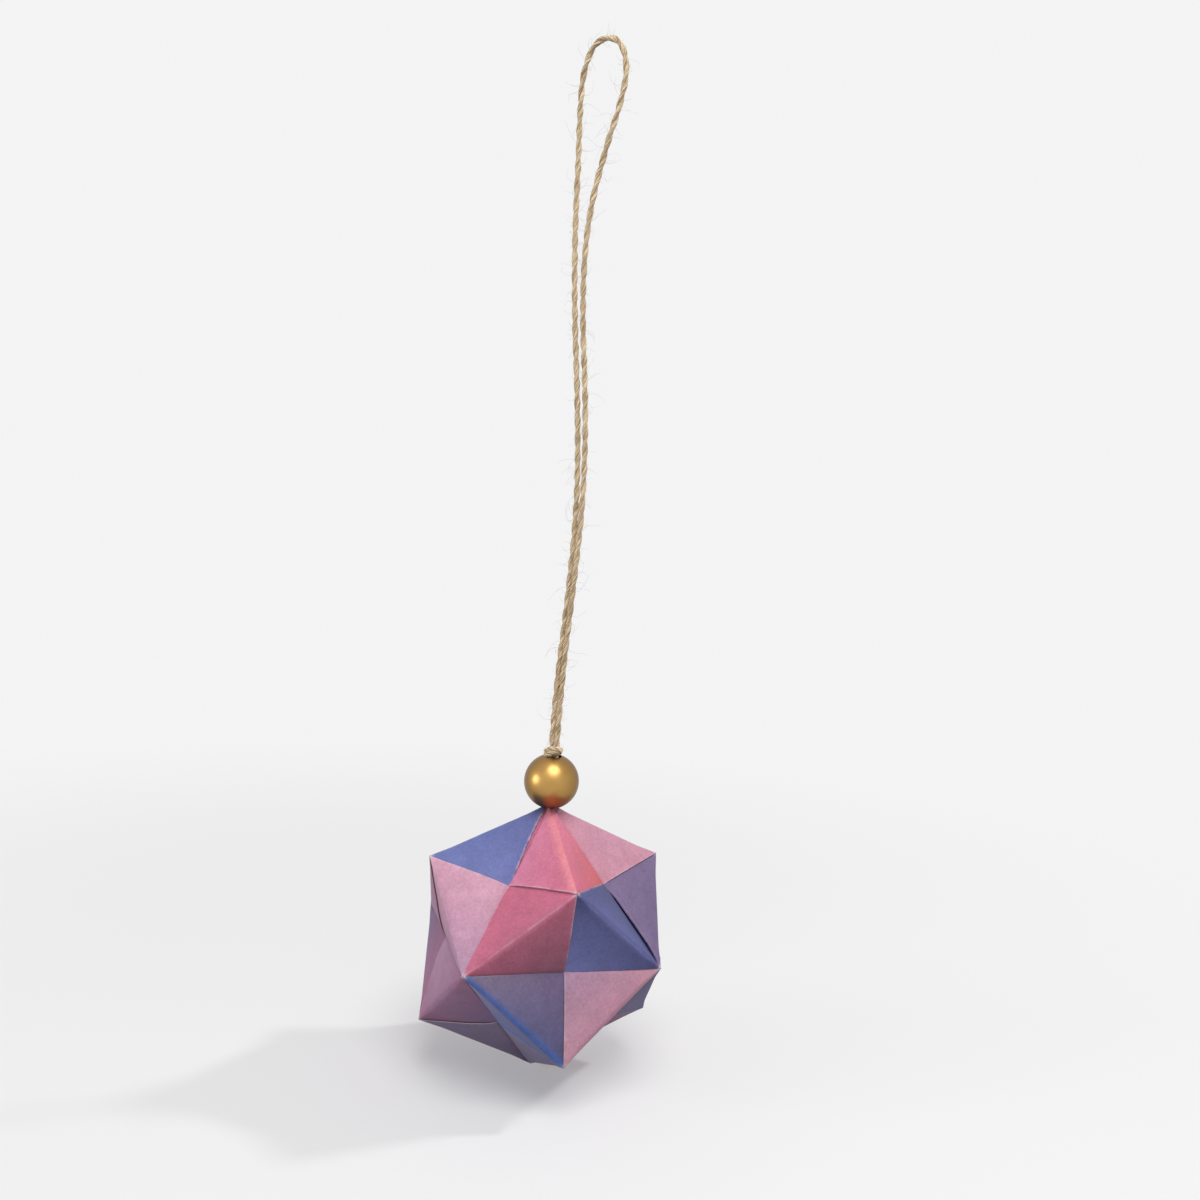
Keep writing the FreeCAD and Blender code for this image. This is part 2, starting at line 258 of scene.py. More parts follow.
def printed_paper():
    """Matte printed craft paper: colour from the fold's own map, which is print with a painted
    highlight and painted shade in places, fibres along the sheet, and pale rubbed paper where the wear
    and highlight map says, which also paints a pale highlight along cut edges."""
    made, tree, surface = new_material("printed_paper", Specular_IOR_Level=0.2, Sheen_Weight=0.04)
    ink_and_painted_light = shader_node(tree, "ShaderNodeAttribute", (-1100, 250), attribute_name="ink_and_painted_light")
    wear_and_highlight = shader_node(tree, "ShaderNodeAttribute", (-1100, 0), attribute_name="wear_and_highlight")
    sheet = shader_node(tree, "ShaderNodeUVMap", (-1300, -200), uv_map="sheet")
    along_grain = shader_node(tree, "ShaderNodeMapping", (-1100, -200),
                              Rotation=(0.0, 0.0, 0.62), Scale=(90.0, 330.0, 1.0))
    place = shader_node(tree, "ShaderNodeTexCoord", (-1100, -450))
    look = shader_node(tree, "ShaderNodeGroup", (-800, 100), node_tree=fibres)
    look.inputs["Fibre Strength"].default_value = 0.24
    look.inputs["Cloud Scale"].default_value = 240.0
    look.inputs["Cloud Strength"].default_value = 0.52
    patchiness = shader_node(tree, "ShaderNodeMapRange", (-560, -150), From_Min=0.36, From_Max=0.60,
                      To_Min=0.0, To_Max=1.5)
    pale_amount = shader_node(tree, "ShaderNodeMath", (-380, -100), operation="MULTIPLY", use_clamp=True)
    mixed = shader_node(tree, "ShaderNodeMix", (-180, 150), data_type="RGBA")
    # Pale colour of rubbed print, and also of the painted highlight along cut edges.
    mixed.inputs[7].default_value = (0.74, 0.66, 0.72, 1.0)
    bump = shader_node(tree, "ShaderNodeBump", (-180, -250), Strength=0.3, Distance=0.03 * MM)
    dull = shader_node(tree, "ShaderNodeMapRange", (-380, -400), From_Min=0.3, From_Max=0.7,
                       To_Min=0.50, To_Max=0.64)
    join = tree.links.new
    join(ink_and_painted_light.outputs["Color"], look.inputs["Color"])
    join(sheet.outputs["UV"], along_grain.inputs["Vector"])
    join(along_grain.outputs[0], look.inputs["Way"])
    join(place.outputs["Object"], look.inputs["Place"])
    join(look.outputs["Cloud"], patchiness.inputs["Value"])
    join(patchiness.outputs[0], pale_amount.inputs[0])
    join(wear_and_highlight.outputs["Fac"], pale_amount.inputs[1])
    join(pale_amount.outputs[0], mixed.inputs[0])
    join(look.outputs["Color"], mixed.inputs[6])
    join(mixed.outputs[2], surface.inputs["Base Color"])
    join(look.outputs["Cloud"], dull.inputs["Value"])
    join(dull.outputs[0], surface.inputs["Roughness"])
    join(look.outputs["Height"], bump.inputs["Height"])
    join(bump.outputs["Normal"], surface.inputs["Normal"])
    return made


def raw_paper():
    """The pale core of the paper, which shows at a cut edge and on the unprinted side."""
    made, tree, surface = new_material("raw_paper", Roughness=0.85, Specular_IOR_Level=0.25)
    place = shader_node(tree, "ShaderNodeTexCoord", (-800, 0))
    look = shader_node(tree, "ShaderNodeGroup", (-500, 0), node_tree=fibres)
    look.inputs["Color"].default_value = (0.52, 0.42, 0.47, 1.0)
    look.inputs["Fibre Scale"].default_value = 700.0
    look.inputs["Fibre Strength"].default_value = 0.4
    tree.links.new(place.outputs["Object"], look.inputs["Way"])
    tree.links.new(place.outputs["Object"], look.inputs["Place"])
    tree.links.new(look.outputs["Color"], surface.inputs["Base Color"])
    return made


def eased(x):
    """0 below 0, 1 above 1, and smooth between."""
    x = min(1.0, max(0.0, x))
    return x * x * (3 - 2 * x)


class Tile:
    """One tile of a unit: a square of its sheet, folded over the ridge from a peak to a corner.
    A place on it is s and t, which are 0 and 0 at the peak and 1 and 1 at the corner. The flap
    has s over t, up to the valley at s = 1. The tab has t over s, up to its fold at t = 1."""

    def __init__(self, first, second, inks_and_painted_light, fold, turned_sheet):
        third = first.cross(second)
        self.peak = (first + second + third) * PEAK_REACH
        self.corner = first * CORNER_RADIUS
        self.flap_middle = (first + second) * CORNER_RADIUS / 2
        self.tab_middle = (first + third) * CORNER_RADIUS / 2
        self.beyond = (first + second - third) * PEAK_REACH
        self.flap_normal = self.outward(self.peak, self.corner, self.flap_middle)
        self.tab_normal = self.outward(self.peak, self.tab_middle, self.corner)
        self.beyond_normal = self.outward(self.beyond, self.flap_middle, self.corner)
        self.ridge_normal = (self.flap_normal + self.tab_normal).normalized()
        self.ridge_turn = math.sqrt(max(0.0, 1 - self.flap_normal.dot(self.tab_normal)) / 2)
        self.tab_out = (self.tab_middle - self.peak).normalized()
        self.inks_and_painted_light = [Vector(INKS_AND_PAINTED_LIGHT[name]) for name in inks_and_painted_light]
        self.fold = {**USUAL_FOLD, **fold}
        self.turned_sheet = turned_sheet
        self.corner_hole = CORD_HOLE if first == TOP else CORNER_HOLE

    @staticmethod
    def outward(a, b, c):
        found = (b - a).cross(c - a).normalized()
        return found if found.dot(a) > 0 else -found

    def ink_and_painted_light(self, s, t):
        s, t = min(1, max(0, s)), min(1, max(0, t))
        at_peak, at_flap, at_corner, at_tab = self.inks_and_painted_light
        found = (at_peak * (1 - s) * (1 - t) + at_flap * s * (1 - t)
                 + at_corner * s * t + at_tab * (1 - s) * t)
        # A band of colour along the ridge: a painted highlight on the top front tile, and printed
        # bright blue on the bottom front tile.
        if self.fold["band"]:
            name, flap_width, tab_width = self.fold["band"]
            away = abs(s - t) * TILE_SIDE / math.sqrt(2) / (flap_width if s > t else tab_width)
            found = found.lerp(Vector(INKS_AND_PAINTED_LIGHT[name]), 1 - eased(away))
        return found

    def on_sheet(self, s, t):
        """Where this place is on the flat sheet, from 0 to 1 both ways."""
        u, v = 0.25 * (1 + s), 0.25 * t
        return (1 - u, 1 - v) if self.turned_sheet else (u, v)

    def swell(self, base, s, t):
        """How far the face is bowed from flat. Every layer on a face bows alike."""
        most, least = max(s, t), min(s, t)
        shares = (1 - most, (most + least) / 2, (most - least) / 2)
        edge = eased(6 * min(max(share, 0) for share in shares))
        bow = 27 * shares[0] * shares[1] * max(shares[2], 0)
        face = self.peak.normalized() * 2.7
        return ((0.42 + 0.3 * noise.noise(face + self.corner.normalized() * 0.01)) * bow
                + 0.16 * noise.noise(base / (7 * MM)) * edge) * MM

    def ridge_drop(self, across, along):
        """The ridge is a soft roll, tighter towards its two ends."""
        width = self.fold["ridge_width"] * (0.3 + 0.7 * eased(5 * along) * eased(5 * (1 - along)))
        away = across * TILE_SIDE / math.sqrt(2) / width
        return self.ridge_turn * width * (1 - away) ** 2 / 2 if away < 1 else 0.0

    def wear_and_highlight(self, s, t, across, cut_away):
        """How much the print is paled: rubbed along the ridge and at both tips, and at a cut edge
        partly rubbed and partly a painted highlight for light on that edge.
        """
        ridge = math.exp(-(across * TILE_SIDE / (0.45 * MM)) ** 2) * self.fold["ridge_rub"]
        tip = math.exp(-(math.hypot(s, t) * TILE_SIDE / (0.9 * MM)) ** 2) * 0.7
        corner = math.exp(-(math.hypot(1 - s, 1 - t) * TILE_SIDE / (0.8 * MM)) ** 2) * 0.8
        # At a cut edge the pale line is partly rubbed print and partly a painted highlight for light
        # falling on the edge.
        cut_wear_and_highlight = math.exp(-cut_away / (0.16 * MM)) * 0.45
        return min(1.0, ridge + tip + corner + cut_wear_and_highlight)

    def ends(self, across):
        """Where a row starts and stops, so that small round holes stay at the peak and corner."""
        off_line = across * TILE_SIDE
        ridge = TILE_SIDE * math.sqrt(2)
        start = math.sqrt(max(0.0, TIP_HOLE ** 2 - off_line ** 2)) / ridge
        stop = 1 - math.sqrt(max(0.0, self.corner_hole ** 2 - off_line ** 2)) / ridge
        return start, stop

    def off_corner(self, across):
        """How far a row's end lies along the valley from the hole at the corner."""
        return max(0.0, across * TILE_SIDE - self.corner_hole)

    def flap_row(self, across):
        """From the cut edge at the slit to the valley, and on under the next unit's fold."""
        row = []
        start, stop = self.ends(across)
        for step in ALONG:
            along = start + (stop - start) * step
            s, t = across + (1 - across) * along, (1 - across) * along
            base = (self.peak + (self.flap_middle - self.peak) * s
                    + (self.corner - self.flap_middle) * t)
            off_ridge = eased(9 * across)
            up = self.swell(base, s, t)
            up += (self.fold["slit_lift"] * math.exp(-t * TILE_SIDE / (1.4 * MM))
                   * off_ridge * eased(5 * (1 - s)))
            up -= LAYER * math.exp(-(1 - s) * TILE_SIDE / (0.5 * MM)) * off_ridge
            place = base + self.flap_normal * up - self.ridge_normal * self.ridge_drop(across, along)
            row.append((place, s, t, self.wear_and_highlight(s, t, across, t * TILE_SIDE)))
        valley = self.corner + (self.flap_middle - self.corner) * across
        way = (self.beyond - self.flap_middle).normalized()
        for reach in CROSSING:
            reach = min(reach, 0.8 * self.off_corner(across))
            place = valley + way * reach - self.beyond_normal * LAYER * eased(9 * across)
            row.append((place, 1 + reach / TILE_SIDE, 1 - across, 0.0))
        return row

    def tab_row(self, across):
        """From inside the neighbour's pocket, out at its slit, over to the fold and back under."""
        row = []
        start, stop = self.ends(across)
        # inside the pocket it stops short of the neighbour's ridge
        margin = POCKET_MARGIN * math.sqrt(2) / TILE_SIDE / max(across, 1e-6)
        longest = min(0.93, max(0.25, 1 - margin))
        for reach in TONGUE:
            s, t = -across * reach * longest, across * 0.985
            base = (self.peak + (self.tab_middle - self.peak) * t
                    + (self.corner - self.tab_middle) * s)
            row.append((base + self.tab_normal * (self.swell(base, s, t) - LAYER), s, t, 0.0))
        near_corner = 0.0
        for step in ALONG:
            along = start + (stop - start) * step
            t, s = across + (1 - across) * along, (1 - across) * along
            setback = (self.fold["fold_setback"] * eased(1.6 * s) * eased(9 * across)
                       * eased(8 * (t - 0.8)))
            base = (self.peak + (self.tab_middle - self.peak) * t
                    + (self.corner - self.tab_middle) * s - self.tab_out * setback)
            up = self.swell(base, s, t) - LAYER * (1 - eased(s / max(t, 1e-6)))
            up += (self.fold["fold_lift"] * math.exp(-(1 - t) * TILE_SIDE / (1.8 * MM))
                   * eased(3.5 * (t - s)) * eased(5 * s))
            place = base + self.tab_normal * up - self.ridge_normal * self.ridge_drop(across, along)
            row.append((place, s, t, self.wear_and_highlight(s, t, across, 1.0)))
            near_corner = min(1.0, self.off_corner(across) / (0.6 * MM))
        radius = self.fold["fold_roll"] * near_corner
        edge, s, t, rubbed = row[-1]
        for degrees in ROLL:
            turn = math.radians(degrees)
            place = (edge + self.tab_out * radius * math.sin(turn)
                     - self.tab_normal * radius * (1 - math.cos(turn)))
            pale_amount = self.fold["fold_rub"] * near_corner * eased(5 * s) * math.sin(turn)
            row.append((place, s, t, rubbed + pale_amount))
        inside = min(1.6 * MM, 0.8 * self.off_corner(across))
        place = edge - self.tab_out * inside - self.tab_normal * radius * 2
        row.append((place, s, t - inside / TILE_SIDE, 0.0))
        return row


ACROSS = (0, .01, .022, .036, .052, .072, .096, .13, .17, .22, .28, .35, .43, .51, .59, .67, .75,
          .82, .88, .93, .965, .985, 1)
ALONG = (0, .008, .02, .036, .056, .085, .125, .175, .235, .3, .37, .44, .51, .58, .65, .72, .78,
         .835, .88, .915, .94, .962, .98, .992, 1)
TONGUE = (1.0, 0.8, 0.54, 0.27, 0.09, 0.02)
CROSSING = (0.3 * MM, 1.0 * MM, 2.2 * MM)
ROLL = (30, 60, 90, 120, 150, 180)


def fold_unit(name, tiles):
    """The unit as one open surface of printed paper and its unprinted inside half."""
    bm = bmesh.new()
    sheet_map = bm.loops.layers.uv.new("sheet")
    ink_and_painted_light_map = bm.verts.layers.float_color.new("ink_and_painted_light")
    wear_and_highlight_map = bm.verts.layers.float.new("wear_and_highlight")
    (first, *_), (second, *_) = tiles
    for (corner, inks_and_painted_light, fold), other in zip(tiles, (second, first)):
        tile = Tile(corner, other, inks_and_painted_light, fold, corner == second)
        for row_of in (tile.flap_row, tile.tab_row):
            rows = []
            for across in ACROSS:
                row = []
                for place, s, t, pale_amount in row_of(across):
                    vert = bm.verts.new(place)
                    vert[ink_and_painted_light_map] = (*tile.ink_and_painted_light(s, t), 1.0)
                    vert[wear_and_highlight_map] = pale_amount
                    row.append((vert, tile.on_sheet(s, t)))
                rows.append(row)
            for before, after in zip(rows, rows[1:]):
                for j in range(len(before) - 1):
                    corners = [before[j], before[j + 1], after[j + 1], after[j]]
                    face = bm.faces.new([c[0] for c in corners])
                    for loop, c in zip(face.loops, corners):
                        loop[sheet_map].uv = c[1]
        ends = [tile.peak, tile.corner, other * CORNER_RADIUS]
        middle = sum(ends, Vector()) / 3
        sunk = 1 - BACK_DEPTH / middle.dot(tile.flap_normal)
        inside = [bm.verts.new((end + (middle - end) * BACK_INSET) * sunk) for end in ends]
        bm.faces.new(inside).material_index = 1
    bmesh.ops.remove_doubles(bm, verts=bm.verts, dist=0.001 * MM)
    bmesh.ops.dissolve_degenerate(bm, edges=bm.edges, dist=0.0005 * MM)
    bmesh.ops.recalc_face_normals(bm, faces=bm.faces)
    for face in bm.faces:
        face.smooth = True
    # each patch of paper faces out of the ball, whichever way it was found
    patches, seen = [], set()
    for face in bm.faces:
        if face in seen:
            continue
        patch, waiting = [], [face]
        seen.add(face)
        while waiting:
            here = waiting.pop()
            patch.append(here)
            for edge in here.edges:
                for near in edge.link_faces:
                    if near not in seen:
                        seen.add(near)
                        waiting.append(near)
        patches.append(patch)
    for patch in patches:
        if sum(f.normal.dot(f.calc_center_median()) * f.calc_area() for f in patch) < 0:
            bmesh.ops.reverse_faces(bm, faces=patch)
    bmesh.ops.translate(bm, verts=bm.verts, vec=BALL_CENTRE)
    mesh = bpy.data.meshes.new(name)
    bm.to_mesh(mesh)
    bm.free()
    return mesh


def finished(source, name, turn=40):
    """A plain mesh object from one with modifiers, creased where it turns by more than turn."""
    bpy.context.view_layer.update()
    seen = source.evaluated_get(bpy.context.evaluated_depsgraph_get())
    mesh = bpy.data.meshes.new_from_object(seen)
    mesh.name = name
    bpy.data.objects.remove(source)
    bm = bmesh.new()
    bm.from_mesh(mesh)
    for edge in bm.edges:
        edge.smooth = not (len(edge.link_faces) == 2
                           and edge.calc_face_angle() > math.radians(turn))
    bm.to_mesh(mesh)
    bm.free()
    made = bpy.data.objects.new(name, mesh)
    bpy.context.scene.collection.objects.link(made)
    return made


paper, edge_paper = printed_paper(), raw_paper()
for name, tiles in UNITS.items():
    mesh = fold_unit(name + "_paper", tiles)
    mesh.materials.append(paper)
    mesh.materials.append(edge_paper)
    flat = bpy.data.objects.new(name + "_surface", mesh)
    bpy.context.scene.collection.objects.link(flat)
    ply = flat.modifiers.new("ply", "SOLIDIFY")
    ply.thickness = PLY
    ply.offset = -1
    ply.material_offset_rim = 1
    folded = finished(flat, name + "_paper")
    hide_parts(name)
    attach(folded, "root")

# Gold bead: a turned wooden ball with a plain bore, painted satin gold. It is threaded on the
# doubled twine and rests on the ball's top corner.
bead_low, bead_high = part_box("gold_bead")
BEAD_RADIUS = (bead_high[0] - bead_low[0]) / 2
BEAD_CENTRE = (bead_low + bead_high) / 2
BORE_RADIUS = 2.15 * MM
RIM_ROUND = 0.35 * MM
BEAD_SIDES = 96


def bead_profile():
    """Half of the bead's section: from the bore, round its eased rims and over the ball."""
    rim_reach = BORE_RADIUS + RIM_ROUND
    rim_height = math.sqrt((BEAD_RADIUS - RIM_ROUND) ** 2 - rim_reach ** 2)
    lean = math.atan2(rim_reach, rim_height)
    upper = [(BORE_RADIUS, rim_height * k / 6) for k in range(7)]
    for k in range(1, 7):
        turn = math.pi - (math.pi / 2 + lean) * k / 6
        upper.append((rim_reach + RIM_ROUND * math.cos(turn), rim_height + RIM_ROUND * math.sin(turn)))
    for k in range(1, 25):
        turn = lean + (math.pi / 2 - lean) * k / 24
        upper.append((BEAD_RADIUS * math.sin(turn), BEAD_RADIUS * math.cos(turn)))
    return upper + [(r, -z) for r, z in reversed(upper[1:-1])]


def gold_paint():
    """Satin gold paint over sanded wood, a little thicker in places and browner at its edges."""
    made, tree, surface = new_material("gold_paint", Metallic=1.0, Coat_Weight=0.06,
                                       Coat_Roughness=0.3)
    place = shader_node(tree, "ShaderNodeTexCoord", (-900, 0))
    cloud = shader_node(tree, "ShaderNodeTexNoise", (-700, 100), Scale=260.0, Detail=5.0)
    speck = shader_node(tree, "ShaderNodeTexNoise", (-700, -200), Scale=3200.0, Detail=2.0)
    colour = shader_node(tree, "ShaderNodeMix", (-350, 100), data_type="RGBA")
    colour.inputs[6].default_value = (0.46, 0.26, 0.075, 1.0)
    colour.inputs[7].default_value = (0.60, 0.37, 0.12, 1.0)
    rough = shader_node(tree, "ShaderNodeMapRange", (-350, -100), From_Min=0.3, From_Max=0.7,
                        To_Min=0.31, To_Max=0.39)
    bump = shader_node(tree, "ShaderNodeBump", (-350, -300), Strength=0.25, Distance=0.02 * MM)
    facing = shader_node(tree, "ShaderNodeLayerWeight", (-550, 350), Blend=0.55)
    flop = shader_node(tree, "ShaderNodeMix", (-120, 150), data_type="RGBA")
    flop.inputs[7].default_value = (0.11, 0.05, 0.01, 1.0)
    tree.links.new(place.outputs["Object"], cloud.inputs["Vector"])
    tree.links.new(place.outputs["Object"], speck.inputs["Vector"])
    tree.links.new(cloud.outputs[0], colour.inputs[0])
    tree.links.new(facing.outputs["Facing"], flop.inputs[0])
    tree.links.new(colour.outputs[2], flop.inputs[6])
    tree.links.new(flop.outputs[2], surface.inputs["Base Color"])
    tree.links.new(cloud.outputs[0], rough.inputs["Value"])
    tree.links.new(rough.outputs[0], surface.inputs["Roughness"])
    tree.links.new(speck.outputs[0], bump.inputs["Height"])
    tree.links.new(bump.outputs["Normal"], surface.inputs["Normal"])
    return made


bm = bmesh.new()
profile = bead_profile()
rings = []
for side in range(BEAD_SIDES):
    turn = 2 * math.pi * side / BEAD_SIDES
    rings.append([bm.verts.new(BEAD_CENTRE + Vector((r * math.cos(turn), r * math.sin(turn), z)))
                  for r, z in profile])
for side in range(BEAD_SIDES):
    here, there = rings[side], rings[(side + 1) % BEAD_SIDES]
    for k in range(len(profile)):
        after = (k + 1) % len(profile)
        bm.faces.new([here[k], there[k], there[after], here[after]]).smooth = True
bmesh.ops.recalc_face_normals(bm, faces=bm.faces)
bead_mesh = bpy.data.meshes.new("gold_bead_turned")
bm.to_mesh(bead_mesh)
bm.free()
bead_mesh.materials.append(gold_paint())
bead = bpy.data.objects.new("gold_bead_turned", bead_mesh)
bpy.context.scene.collection.objects.link(bead)
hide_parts("gold_bead")
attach(bead, "root")

# Jute twine: two plies of tan jute, twisted. One length is doubled into a hanging loop, knotted
# on top of the bead, and its two ends go through the bead to a stop knot inside the ball.
TWINE_DIAMETER = 1.45 * MM
STRAND_SPACING = 1.52 * MM
PLY_OFFSET, PLY_RADIUS = 0.19, 0.36  # shares of the twine's diameter
TURN_LENGTH = 9.0 * MM
FIBRE_TURN = 7.0 * MM
FIBRE_STREAK = 11.0 * MM
LOOP_ROUTE = [
    (-0.76, 0.0, -176.0), (-0.76, 0.0, -160.0), (0.5, 0.4, -138.0), (1.3, 0.3, -114.0),
    (-0.2, -0.4, -90.0), (-3.2, -0.4, -67.0), (-5.3, 0.2, -46.0), (-5.9, 0.4, -29.0),
    (-6.4, 0.1, -15.5), (-6.2, 0.0, -6.2), (-3.2, -0.1, 0.725), (3.2, 0.1, 0.725),
    (6.3, 0.1, -6.2), (5.2, -0.1, -15.0), (1.8, -0.6, -27.0), (-1.6, -0.7, -44.0),
    (-1.6, 0.2, -65.0), (1.5, 0.4, -88.0), (3.2, -0.1, -112.0), (2.3, -0.5, -136.0),
    (0.76, 0.0, -159.0), (0.76, 0.0, -176.0),
]


def jute():
    """Tan jute: fibres that run round each ply, with darker and paler ones among them."""
    made, tree, surface = new_material("jute_twine", Roughness=0.8, Specular_IOR_Level=0.25,
                                       Sheen_Weight=0.25)
    way = shader_node(tree, "ShaderNodeAttribute", (-1100, 0), attribute_name="fibre_way")
    place = shader_node(tree, "ShaderNodeTexCoord", (-1100, -300))
    patch = shader_node(tree, "ShaderNodeTexNoise", (-900, 250), Scale=2.4, Detail=3.0)
    colour = shader_node(tree, "ShaderNodeMix", (-650, 200), data_type="RGBA")
    colour.inputs[6].default_value = (0.31, 0.19, 0.085, 1.0)
    colour.inputs[7].default_value = (0.90, 0.73, 0.49, 1.0)
    spread = shader_node(tree, "ShaderNodeMapRange", (-800, 120), From_Min=0.36, From_Max=0.60)
    look = shader_node(tree, "ShaderNodeGroup", (-400, 100), node_tree=fibres)
    look.inputs["Fibre Scale"].default_value = 5.0
    look.inputs["Fibre Strength"].default_value = 1.1
    look.inputs["Cloud Scale"].default_value = 420.0
    look.inputs["Cloud Strength"].default_value = 0.4
    bump = shader_node(tree, "ShaderNodeBump", (-150, -200), Strength=0.8, Distance=0.12 * MM)
    join = tree.links.new
    join(way.outputs["Vector"], patch.inputs["Vector"])
    join(patch.outputs[0], spread.inputs["Value"])
    join(spread.outputs[0], colour.inputs[0])
    join(colour.outputs[2], look.inputs["Color"])
    join(way.outputs["Vector"], look.inputs["Way"])
    join(place.outputs["Object"], look.inputs["Place"])
    join(look.outputs["Color"], surface.inputs["Base Color"])
    join(look.outputs["Height"], bump.inputs["Height"])
    join(bump.outputs["Normal"], surface.inputs["Normal"])
    return made


def open_geometry(name, inputs):
    """A geometry node tree with named inputs, given as name to (type, starting value)."""
    tree = bpy.data.node_groups.new(name, "GeometryNodeTree")
    tree.interface.new_socket("Geometry", in_out="INPUT", socket_type="NodeSocketGeometry")
    for title, (kind, start) in inputs.items():
        socket = tree.interface.new_socket(title, in_out="INPUT", socket_type=kind)
        if start is not None:
            socket.default_value = start
    tree.interface.new_socket("Geometry", in_out="OUTPUT", socket_type="NodeSocketGeometry")
    return tree, tree.nodes.new("NodeGroupInput"), tree.nodes.new("NodeGroupOutput")


def math_node(tree, operation, *inputs):
    """A Math node on numbers or sockets, and its output."""
    made = tree.nodes.new("ShaderNodeMath")
    made.operation = operation
    for socket, value in zip(made.inputs, inputs):
        if isinstance(value, bpy.types.NodeSocket):
            tree.links.new(value, socket)
        else:
            socket.default_value = value
    return made.outputs[0]


def vector_node(tree, operation, first, second=None, scale=None):
    """A Vector Math node on vectors or sockets, and its output."""
    made = tree.nodes.new("ShaderNodeVectorMath")
    made.operation = operation
    for socket, value in ((made.inputs[0], first), (made.inputs[1], second),
                          (made.inputs[3], scale)):
        if isinstance(value, bpy.types.NodeSocket):
            tree.links.new(value, socket)
        elif value is not None:
            socket.default_value = value
    return made.outputs[0]


def twisted_tree():
    """Plies that wind round a line, each a tube of uneven thickness."""
    tree, given, result = open_geometry("twisted_plies", {
        "Twine Diameter": ("NodeSocketFloat", TWINE_DIAMETER), "Plies": ("NodeSocketInt", 2),
        "Turn Length": ("NodeSocketFloat", TURN_LENGTH), "Step": ("NodeSocketFloat", 0.4 * MM),
        "Material": ("NodeSocketMaterial", None)})
    join = tree.links.new
    line = tree.nodes.new("GeometryNodeMeshToCurve")
    even = shader_node(tree, "GeometryNodeResampleCurve", (0, 0), mode="LENGTH")
    doubled = shader_node(tree, "GeometryNodeDuplicateElements", (200, 0), domain="SPLINE")
    along = tree.nodes.new("GeometryNodeSplineParameter").outputs["Length"]
    normal = tree.nodes.new("GeometryNodeInputNormal").outputs["Normal"]
    tangent = tree.nodes.new("GeometryNodeInputTangent").outputs["Tangent"]
    join(given.outputs["Geometry"], line.inputs["Mesh"])
    join(line.outputs[0], even.inputs["Curve"])
    join(given.outputs["Step"], even.inputs["Length"])
    join(even.outputs[0], doubled.inputs["Geometry"])
    join(given.outputs["Plies"], doubled.inputs["Amount"])
    own_start = math_node(tree, "DIVIDE", doubled.outputs["Duplicate Index"], given.outputs["Plies"])
    turns = math_node(tree, "ADD", own_start,
                      math_node(tree, "DIVIDE", along, given.outputs["Turn Length"]))
    angle = math_node(tree, "MULTIPLY", turns, 2 * math.pi)
    side = vector_node(tree, "CROSS_PRODUCT", tangent, normal)
    offset = vector_node(tree, "ADD",
                         vector_node(tree, "SCALE", normal, scale=math_node(tree, "COSINE", angle)),
                         vector_node(tree, "SCALE", side, scale=math_node(tree, "SINE", angle)))
    wound = tree.nodes.new("GeometryNodeSetPosition")
    join(doubled.outputs[0], wound.inputs["Geometry"])
    join(vector_node(tree, "SCALE", offset,
                     scale=math_node(tree, "MULTIPLY", given.outputs["Twine Diameter"], PLY_OFFSET)),
         wound.inputs["Offset"])
    kept_along = shader_node(tree, "GeometryNodeStoreNamedAttribute", (600, 0), Name="along")
    join(wound.outputs[0], kept_along.inputs["Geometry"])
    join(along, kept_along.inputs["Value"])
    section = shader_node(tree, "GeometryNodeCurvePrimitiveCircle", (400, -300), Resolution=12)
    join(math_node(tree, "MULTIPLY", given.outputs["Twine Diameter"], PLY_RADIUS),
         section.inputs["Radius"])
    kept_round = shader_node(tree, "GeometryNodeStoreNamedAttribute", (600, -300), Name="around")
    join(section.outputs[0], kept_round.inputs["Geometry"])
    join(tree.nodes.new("GeometryNodeSplineParameter").outputs["Factor"], kept_round.inputs["Value"])
    lumps = shader_node(tree, "ShaderNodeTexNoise", (600, 300), Scale=900.0, Detail=2.0)
    tube = tree.nodes.new("GeometryNodeCurveToMesh")
    tube.inputs["Fill Caps"].default_value = True
    join(kept_along.outputs[0], tube.inputs["Curve"])
    join(kept_round.outputs[0], tube.inputs["Profile Curve"])
    join(math_node(tree, "MULTIPLY_ADD", lumps.outputs[0], 0.24, 0.86), tube.inputs["Scale"])
    read_along = shader_node(tree, "GeometryNodeInputNamedAttribute", (900, 200), Name="along")
    read_round = shader_node(tree, "GeometryNodeInputNamedAttribute", (900, 0), Name="around")
    slant = math_node(tree, "SUBTRACT",
                      math_node(tree, "MULTIPLY", read_round.outputs[0], 2 * math.pi),
                      math_node(tree, "MULTIPLY", read_along.outputs[0], 2 * math.pi / FIBRE_TURN))
    way = tree.nodes.new("ShaderNodeCombineXYZ")
    join(math_node(tree, "COSINE", slant), way.inputs[0])
    join(math_node(tree, "SINE", slant), way.inputs[1])
    join(math_node(tree, "DIVIDE", read_along.outputs[0], FIBRE_STREAK), way.inputs[2])
    kept_way = shader_node(tree, "GeometryNodeStoreNamedAttribute", (1300, 0),
                           data_type="FLOAT_VECTOR")
    kept_way.inputs["Name"].default_value = "fibre_way"
    join(tube.outputs[0], kept_way.inputs["Geometry"])
    join(way.outputs[0], kept_way.inputs["Value"])
    real = tree.nodes.new("GeometryNodeRealizeInstances")
    finish = tree.nodes.new("GeometryNodeSetMaterial")
    join(kept_way.outputs[0], real.inputs[0])
    join(real.outputs[0], finish.inputs["Geometry"])
    join(given.outputs["Material"], finish.inputs["Material"])
    join(finish.outputs[0], result.inputs[0])
    return tree


